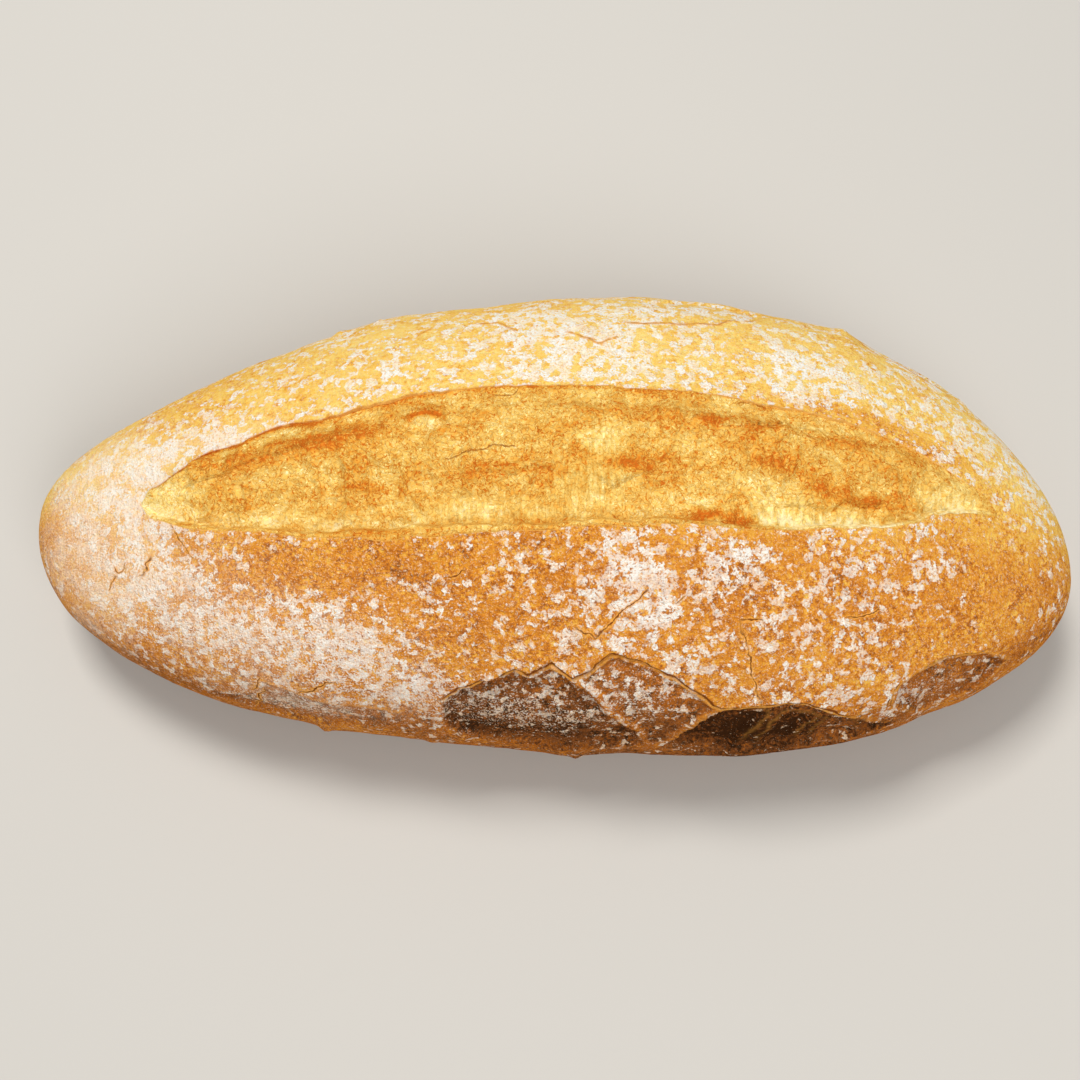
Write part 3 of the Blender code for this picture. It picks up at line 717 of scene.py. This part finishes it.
def crust_values(along, turn):
    """How baked and how floury each point of the crust is, with painted shade on the broken facets, a
    painted shadow line under the back lip and painted highlight on torn rims, and where it lies by the
    cracks and the lips.
    """
    x, y, front, back, strength = slash_place(along, turn)
    bake_and_shade = round_level(BAKE_ROUND, TIP_BAKE, along, turn) + patches(BAKE_AND_SHADE_PATCHES, x / MM, turn)
    flour = round_level(FLOUR_ROUND, TIP_FLOUR, along, turn) + patches(FLOUR_PATCHES, x / MM, turn)
    point = ragged(x, turn)
    # Inside a facet the crust is darker: partly baked darker, partly painted shade.
    for _, darker, floury, outline in SUNKEN_FACETS + SMALL_FACETS:
        inside = smooth_step((depth_inside(outline, point) - FACET_SHELF / 2) / FACET_EDGE)
        bake_and_shade += darker * inside * smooth_step((turn - FACET_FADE_FROM) / FACET_FADE)
        flour += floury * inside
    # Paler rims along the facets, partly torn crust and partly painted highlight; the ridges between the
    # smaller facets get only painted highlight.
    rim_and_highlight = np.zeros(x.shape)
    for number, strength_of_rim in RIMMED_FACETS:
        depth = depth_inside(SUNKEN_FACETS[number][-1], point)
        rim_and_highlight = np.maximum(rim_and_highlight, strength_of_rim * np.exp(-((depth / FACET_RIM - 1) ** 2)))
    rim_and_highlight *= smooth_step((turn - RIM_FROM) / RIM_RISE)
    for _, _, _, outline in SMALL_FACETS:
        ridge = SMALL_RIDGE_HIGHLIGHT * np.exp(-((depth_inside(outline, point) / FACET_RIM) ** 2))
        rim_and_highlight = np.maximum(rim_and_highlight, ridge * smooth_step(turn / RIM_RISE))
    lip_gap = np.minimum(y - front, back - y)
    veil = np.clip(patches(VEIL_PATCHES, x / MM, turn), 0, MOST_VEIL)
    # Painted shadow under the back lip's curled edge.
    lip_shadow = straight_line(LIP_SHADOW, x / MM) * np.exp(-(((back - y) / LIP_SHADOW_WIDTH) ** 2)) * strength
    values = {"lip_shadow": lip_shadow, "bake_and_shade": bake_and_shade, "flour": np.clip(flour, 0, MOST_FLOUR), "veil": veil,
              "rim_and_highlight": rim_and_highlight, "dust": np.clip(patches(DUST_PATCHES, x / MM, turn), 0, 1),
              "torn": smooth_step(1 + lip_gap / WALL) * strength}
    for group, lines in CRACK_GROUPS.items():
        values.update(line_values(group, lines, point))
    values["rift_power"] *= crack_presence(x)
    return values


def add_crust():
    station = np.arange(1, CRUST_STATIONS) / CRUST_STATIONS
    along = np.pi * station + STATION_EVENNESS * np.sin(2 * np.pi * station)
    row, along = np.meshgrid(np.arange(ROW_LINES[-1][0]), along)
    turn = row_turn(along, row)
    relief = crust_at_slash(along, turn) + shoulder_relief(along, turn) + outline_relief(along, turn)
    rings = raised(along, turn, relief)
    tips = [raised(np.full(1, place), np.zeros(1), np.zeros(1))[0] for place in (0.0, np.pi)]
    return closed_tube("crust", rings, tips[0], tips[1], crust_values(along, turn))


def crumb_values(along, turn):
    """How toasted each point of the torn crumb is, with painted shadow by the back lip and the blister's
    far edge and a painted highlight by the flap, and where it lies by its cracks.
    """
    x, y, front, back, _ = slash_place(along, turn)
    share = (y - front) / np.maximum(back - front, MM)
    place = bare_loaf(along, turn)
    aside, beyond = (TOAST_WAVER * lumps(place, TOAST_WAVER_SIZE, seed) for seed in (61, 62))
    toast_and_shading = straight_line(TOAST_ACROSS, share)
    toast_and_shading += patches(TOAST_PATCHES, (x + aside) / MM, (y + beyond) / MM)
    toast_and_shading += CREST_TOAST * torn_surface(place) / MM
    # Painted shadow beside the back lip, under the crust's edge.
    toast_and_shading += LIP_SHADE_ON_CRUMB * straight_line(LIP_SHADOW, x / MM) * np.exp(-(((back - y) / LIP_SHADE_ON_CRUMB_WIDTH) ** 2))
    # Painted shadow at the blister's far edge, under its rim; its floor is paler.
    reach = blister_reach(x, y)
    ring = np.exp(-(((reach - BLISTER_RING[0]) / BLISTER_RING[1]) ** 2))
    far = smooth_step((y / MM - BLISTER[1]) / BLISTER[3])
    toast_and_shading += BLISTER_SHADOW * (far * ring - BLISTER_FLOOR * smooth_step(1 - reach))
    strands = np.clip(patches(STRAND_PATCHES, x / MM, y / MM), 0, 1)
    return {"toast_and_shading": toast_and_shading, "strands": strands, **line_values("fine", CRUMB_CRACKS, ragged(x, turn))}


def add_crumb():
    x = np.linspace(*CRUMB_ENDS, CRUMB_STATIONS)
    front, back = lips(x)
    front = front - TUCK / SLASH_TURN
    back = np.maximum(back + TUCK / SLASH_TURN, front + LEAST_SLASH)
    shares = [*np.linspace(0, 1, CRUMB_ROWS), *UNDERSIDE_SHARES]
    share, along = np.meshgrid(shares, np.arccos(-x / (LENGTH / 2)))
    turn = front[:, None] + (back - front)[:, None] * share
    relief = crumb_relief(along, turn)
    deep = -CRUMB_UNDERSIDE * slash_place(along, turn)[4] - TUCK_DEPTH
    relief[:, CRUMB_ROWS:] = deep[:, CRUMB_ROWS:]
    rings = raised(along, turn, relief)
    values = crumb_values(along, turn)
    return closed_tube("torn_crumb", rings, rings[0].mean(axis=0), rings[-1].mean(axis=0), values)


# ---- materials ----
def screen_colour(colour):
    """A colour as a screen shows it, 0 to 255, turned into the linear one that a shader takes."""
    share = np.array(colour, float) / 255
    linear = np.where(share <= 0.04045, share / 12.92, ((share + 0.055) / 1.055) ** 2.4)
    return (*linear.tolist(), 1.0)


class Shader:
    """A material's nodes, made one by one. Each call returns the new node's output."""

    def __init__(self, name, specular):
        self.material = bpy.data.materials.new(name)
        self.material.use_nodes = True
        self.tree = self.material.node_tree
        self.surface = self.tree.nodes["Principled BSDF"]
        self.surface.inputs["Specular IOR Level"].default_value = specular
        self.place = self.add("ShaderNodeTexCoord").outputs["Object"]

    def add(self, kind, inputs=None, **settings):
        node = self.tree.nodes.new(kind)
        for name, value in settings.items():
            setattr(node, name, value)
        for name, value in (inputs or {}).items():
            self.set(node.inputs[name], value)
        return node

    def set(self, socket, value):
        if isinstance(value, bpy.types.NodeSocket):
            self.tree.links.new(value, socket)
        else:
            socket.default_value = value

    def level(self, name):
        return self.add("ShaderNodeAttribute", attribute_name=name).outputs["Fac"]

    def stretched(self, stretch):
        return self.add("ShaderNodeMapping", {"Vector": self.place, "Scale": stretch}).outputs["Vector"]

    def noise(self, size, detail=3.0, roughness=0.55, place=None, distortion=0.0):
        """Clouds of about this size in mm, between 0 and 1."""
        inputs = {"Vector": place or self.place, "Scale": 1 / (size * MM), "Detail": detail,
                  "Roughness": roughness, "Distortion": distortion}
        return self.add("ShaderNodeTexNoise", inputs).outputs["Fac"]

    def cells(self, size):
        """Distance from the middles of cells of about this size in mm, as a share of it."""
        inputs = {"Vector": self.place, "Scale": 1 / (size * MM)}
        return self.add("ShaderNodeTexVoronoi", inputs).outputs["Distance"]

    def math(self, operation, *values):
        inputs = dict(enumerate(values))
        return self.add("ShaderNodeMath", inputs, operation=operation).outputs["Value"]

    def times(self, value, other):
        return self.math("MULTIPLY", value, other)

    def scaled(self, value, factor, offset):
        return self.math("MULTIPLY_ADD", value, factor, offset)

    def larger(self, value, other):
        return self.math("MAXIMUM", value, other)

    def total(self, start, *terms):
        """START plus each (value, middle of its range, strength)."""
        for value, middle, strength in terms:
            start = self.math("ADD", start, self.scaled(value, strength, -middle * strength))
        return start

    def band(self, value, low, high):
        """0 at LOW, 1 at HIGH, and smooth between."""
        inputs = {"Value": value, "From Min": low, "From Max": high}
        return self.add("ShaderNodeMapRange", inputs, interpolation_type="SMOOTHSTEP").outputs["Result"]

    def ramp(self, value, stops):
        node = self.add("ShaderNodeValToRGB", {"Fac": value})
        while len(node.color_ramp.elements) < len(stops):
            node.color_ramp.elements.new(0.5)
        for element, (place, colour) in zip(node.color_ramp.elements, stops):
            element.position = place
            element.color = screen_colour(colour)
        return node.outputs["Color"]

    def mix(self, share, colour, other):
        inputs = {"Fac": share, "Color1": colour, "Color2": other}
        return self.add("ShaderNodeMixRGB", inputs).outputs["Color"]

    def wandering(self, group, waver):
        """Millimetres from the nearest line of a group of cracks, which wavers by up to half of WAVER."""
        return self.total(self.level(group + "_side"), (self.noise(1.8, 3, 0.6), 0.5, waver * 2))

    def line(self, group, half_width, waver, middle=0.0):
        """1 on the lines of a group of cracks, or MIDDLE mm beyond them, and 0 beside them."""
        side = self.math("ABSOLUTE", self.math("SUBTRACT", self.wandering(group, waver), middle))
        near = self.band(side, half_width, half_width * 0.35)
        return self.times(near, self.level(group + "_power"))

    def wrinkles(self, size, width):
        """1 on thin winding lines about SIZE mm apart and 0 between them."""
        winding = self.noise(size, 1, 0.5, distortion=1.1)
        return self.band(self.math("ABSOLUTE", self.math("SUBTRACT", winding, 0.5)), width, 0.0)

    def finish(self, colour, roughness, height, depth):
        """Connects the colour, the roughness and a bump of this depth to the surface."""
        bump = self.add("ShaderNodeBump", {"Height": height, "Distance": depth, "Strength": 1.0})
        self.set(self.surface.inputs["Base Color"], colour)
        self.set(self.surface.inputs["Roughness"], roughness)
        self.set(self.surface.inputs["Normal"], bump.outputs["Normal"])
        return self.material


def baked_and_shaded_colour(shader):
    """The crust's colour, from pale gold to dark brown with lighter specks, and its unevenness. Its level
    also holds painted shade on the broken facets.
    """
    slow = shader.noise(12, 3, 0.55)
    fine = shader.noise(2.2, 4, 0.75)
    grain = shader.noise(0.9, 2, 0.8)
    speck = shader.noise(0.55, 2, 0.6)
    bake_and_shade = shader.level("bake_and_shade")
    mottle = shader.total(0.0, (fine, 0.5, 0.8), (grain, 0.5, 0.9))
    strength = shader.scaled(shader.band(shader.noise(6, 2, 0.5), 0.38, 0.62), 0.6, 0.6)
    heat_and_shading = shader.total(bake_and_shade, (slow, 0.5, 0.3), (shader.times(mottle, strength), 0, 1))
    speckled = shader.times(shader.band(speck, 0.54, 0.66), shader.band(bake_and_shade, 1.0, 0.45))
    colour = shader.mix(shader.times(speckled, 0.6), shader.ramp(heat_and_shading, CRUST_COLOURS),
                        screen_colour(SPECK_COLOUR))
    return colour, shader.total(fine, (grain, 0, 0.6), (speck, 0, 0.4))


def add_flour_colour(shader, colour):
    """Flour over that colour: an even veil, and clumps that break up into grains. Returns the cover too."""
    cluster = shader.noise(6, 3, 0.6)
    blot = shader.noise(2.3, 2, 0.6)
    grain = shader.noise(0.6, 2, 0.7)
    level = shader.level("veil")
    dusty = shader.band(shader.total(grain, (cluster, 0.5, 1)), 0.36, 0.56)
    even = shader.times(level, 0.5)
    veil = shader.times(level, shader.scaled(dusty, 0.6, even))
    colour = shader.mix(veil, colour, screen_colour(VEIL_COLOUR))
    density = shader.total(blot, (cluster, 0.5, 0.5), (shader.cells(3.2), 0.45, -0.28),
                           (shader.level("flour"), 0.5, 0.4))
    cover = shader.band(shader.total(shader.band(density, 0.42, 0.62), (grain, 0.5, 2.8)), 0.42, 1.05)
    uneven = shader.band(shader.noise(4, 2, 0.6), 0.4, 0.6)
    thick = shader.total(0.82, (uneven, 0.5, 0.36), (level, 0, -0.35))
    cover = shader.times(cover, thick)
    dust = shader.total(shader.level("dust"), (shader.noise(0.5, 1, 0.6), 0.5, 2.4), (blot, 0.5, 1.2))
    cover = shader.larger(cover, shader.times(shader.band(dust, 0.45, 0.8), 0.75))
    shade = shader.total(shader.noise(0.8, 2, 0.7), (shader.level("bake_and_shade"), 0.4, -0.2),
                         (shader.level("flour"), 0.5, 0.3))
    return shader.mix(cover, colour, shader.ramp(shade, FLOUR_COLOURS)), cover


def add_crack_colour(shader, colour):
    """Torn lips, a painted shadow line under the back lip, golden rims beside the cracks (partly paler torn
    crust, partly painted highlight) and the dark lines of the cracks, the rift's being painted shadow under
    its curled edge. Returns the lines too.
    """
    colour = shader.mix(shader.level("torn"), colour, screen_colour(TORN_EDGE_COLOUR))
    broken = shader.band(shader.noise(2.6, 2, 0.6), 0.34, 0.52)
    lip_shadow = shader.times(shader.level("lip_shadow"), shader.scaled(broken, 0.6, 0.4))
    colour = shader.mix(lip_shadow, colour, screen_colour(LIP_SHADOW_COLOUR))
    rift_side = shader.wandering("rift", 0.3)
    rim_width = shader.total(1.5, (shader.noise(5, 2, 0.6), 0.5, 4))
    rim_edge = shader.math("ADD", rift_side, rim_width)
    # Tan rims: partly paler torn crust, partly painted highlight.
    rim_and_highlight = shader.times(shader.band(rim_edge, -0.3, 0.3), shader.band(rift_side, 0.1, -0.2))
    rim_and_highlight = shader.times(rim_and_highlight, shader.level("rift_power"))
    rim_and_highlight = shader.larger(rim_and_highlight, shader.level("rim_and_highlight"))
    beside = shader.larger(shader.line("fine", 0.9, 0.8), shader.line("cross", 0.8, 0.8))
    rim_and_highlight = shader.larger(rim_and_highlight, beside)
    patchy = shader.band(shader.noise(1.3, 3, 0.7), 0.3, 0.55)
    rim_and_highlight = shader.times(rim_and_highlight, shader.scaled(patchy, 0.5, 0.35))
    colour = shader.mix(rim_and_highlight, colour, screen_colour(TAN_RIM_AND_HIGHLIGHT_COLOUR))
    # The rift's dark line is painted shadow in the gap under its curled upper edge.
    lines = shader.larger(shader.line("rift", 0.55, 0.3, -0.35), shader.line("fine", 0.22, 0.8))
    gaps = shader.scaled(broken, 0.6, 0.3)
    cross = shader.times(shader.line("cross", 0.2, 0.8), gaps)
    lines = shader.larger(lines, cross)
    shown = shader.times(lines, shader.band(shader.level("bake_and_shade"), -0.05, 0.5))
    brown = shader.band(shader.level("bake_and_shade"), 0.25, 0.5)
    crack = shader.mix(brown, screen_colour(PALE_CRACK_COLOUR), screen_colour(CRACK_COLOUR))
    return shader.mix(shader.times(shown, 0.9), colour, crack), shown


def make_crust_material():
    shader = Shader("baked crust with flour", specular=0.0)
    colour, uneven = baked_and_shaded_colour(shader)
    colour, cover = add_flour_colour(shader, colour)
    colour, lines = add_crack_colour(shader, colour)
    height = shader.total(uneven, (cover, 0, 0.15), (lines, 0, -0.5))
    return shader.finish(colour, shader.scaled(cover, 0.35, 0.6), height, 1.0 * MM)


def make_crumb_material():
    shader = Shader("torn crumb", specular=0.0)
    slow = shader.noise(4.0, 4, 0.6, shader.stretched((0.4, 1, 1)), 0.6)
    fine = shader.noise(1.4, 2, 0.6, distortion=0.8)
    strand = shader.noise(1.1, 2, 0.6, shader.stretched((1, 0.18, 0.18)), 0.2)
    strand = shader.times(shader.level("strands"), shader.band(strand, 0.4, 0.6))
    crease = shader.wrinkles(1.7, 0.045)
    crest = shader.wrinkles(1.3, 0.05)
    # Crease lines are painted darker, as shade in the creases, and crest lines paler, as painted highlight.
    mottle = shader.total(0.0, (fine, 0.5, 0.65), (crease, 0.2, 0.4), (crest, 0.2, -0.35),
                          (shader.noise(0.5, 1, 0.6), 0.5, 0.3))
    mottle = shader.times(mottle, shader.scaled(shader.level("strands"), -0.6, 1.0))
    heat_and_shading = shader.total(shader.level("toast_and_shading"), (slow, 0.5, 0.7), (mottle, 0, 1), (strand, 0.3, -0.3))
    colour = shader.ramp(heat_and_shading, CRUMB_COLOURS)
    lines = shader.times(shader.line("fine", 0.2, 0.7), 0.8)
    colour = shader.mix(lines, colour, screen_colour(CRUMB_CRACK_COLOUR))
    height = shader.total(fine, (crease, 0, -0.2), (crest, 0, 0.25), (strand, 0, 0.4), (lines, 0, -0.4))
    return shader.finish(colour, shader.scaled(fine, 0.2, 0.7), height, 0.45 * MM)


def make_floor_material():
    shader = Shader("pale floor", specular=0.3)
    shader.surface.inputs["Base Color"].default_value = screen_colour(FLOOR_COLOUR)
    shader.surface.inputs["Roughness"].default_value = 0.9
    return shader.material


# ---- stage, light and camera ----
def add_floor():
    mesh = bpy.data.meshes.new("floor")
    corners = [(FLOOR_HALF * x, FLOOR_HALF * y, 0) for x, y in ((-1, -1), (1, -1), (1, 1), (-1, 1))]
    mesh.from_pydata(corners, [], [(0, 1, 2, 3)])
    mesh.materials.append(make_floor_material())
    floor = placed("floor", mesh)


def add_lamp(name, place, size, power, colour):
    light = bpy.data.lights.new(name, "AREA")
    light.shape = "SQUARE"
    light.size = size
    light.energy = power
    light.color = colour
    lamp = placed(name, light)
    lamp.location = place
    towards = np.array(LAMP_AIM, float) - np.array(place, float)
    tilt = np.arctan2(np.hypot(towards[0], towards[1]), -towards[2])
    heading = np.arctan2(-towards[0], towards[1])
    lamp.rotation_euler = (tilt, 0, heading)


def add_lights():
    world = bpy.data.worlds.new("studio")
    world.use_nodes = True
    background = world.node_tree.nodes["Background"]
    background.inputs["Color"].default_value = SKY_COLOUR
    background.inputs["Strength"].default_value = SKY_STRENGTH
    bpy.context.scene.world = world
    for lamp in LAMPS:
        add_lamp(*lamp)


def add_camera():
    """The photograph's view: from 70 degrees above the table, straight from the front."""
    lens = bpy.data.cameras.new("camera")
    lens.lens = CAMERA_LENS
    lens.sensor_width = CAMERA_SENSOR
    camera = placed("camera", lens)
    camera.location = CAMERA_PLACE
    camera.rotation_euler = (np.radians(CAMERA_TILT), 0, 0)
    bpy.context.scene.camera = camera


def main():
    bpy.context.scene.view_settings.view_transform = "Standard"
    add_camera()
    add_lights()
    add_floor()
    pieces = ((add_crust, make_crust_material, "crust"), (add_crumb, make_crumb_material, "crumb"))
    for add_piece, make_material, slot in pieces:
        piece = add_piece()
        piece.data.materials.append(make_material())
        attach(piece, "root")
        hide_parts("loaf")


main()
bpy.context.view_layer.update()
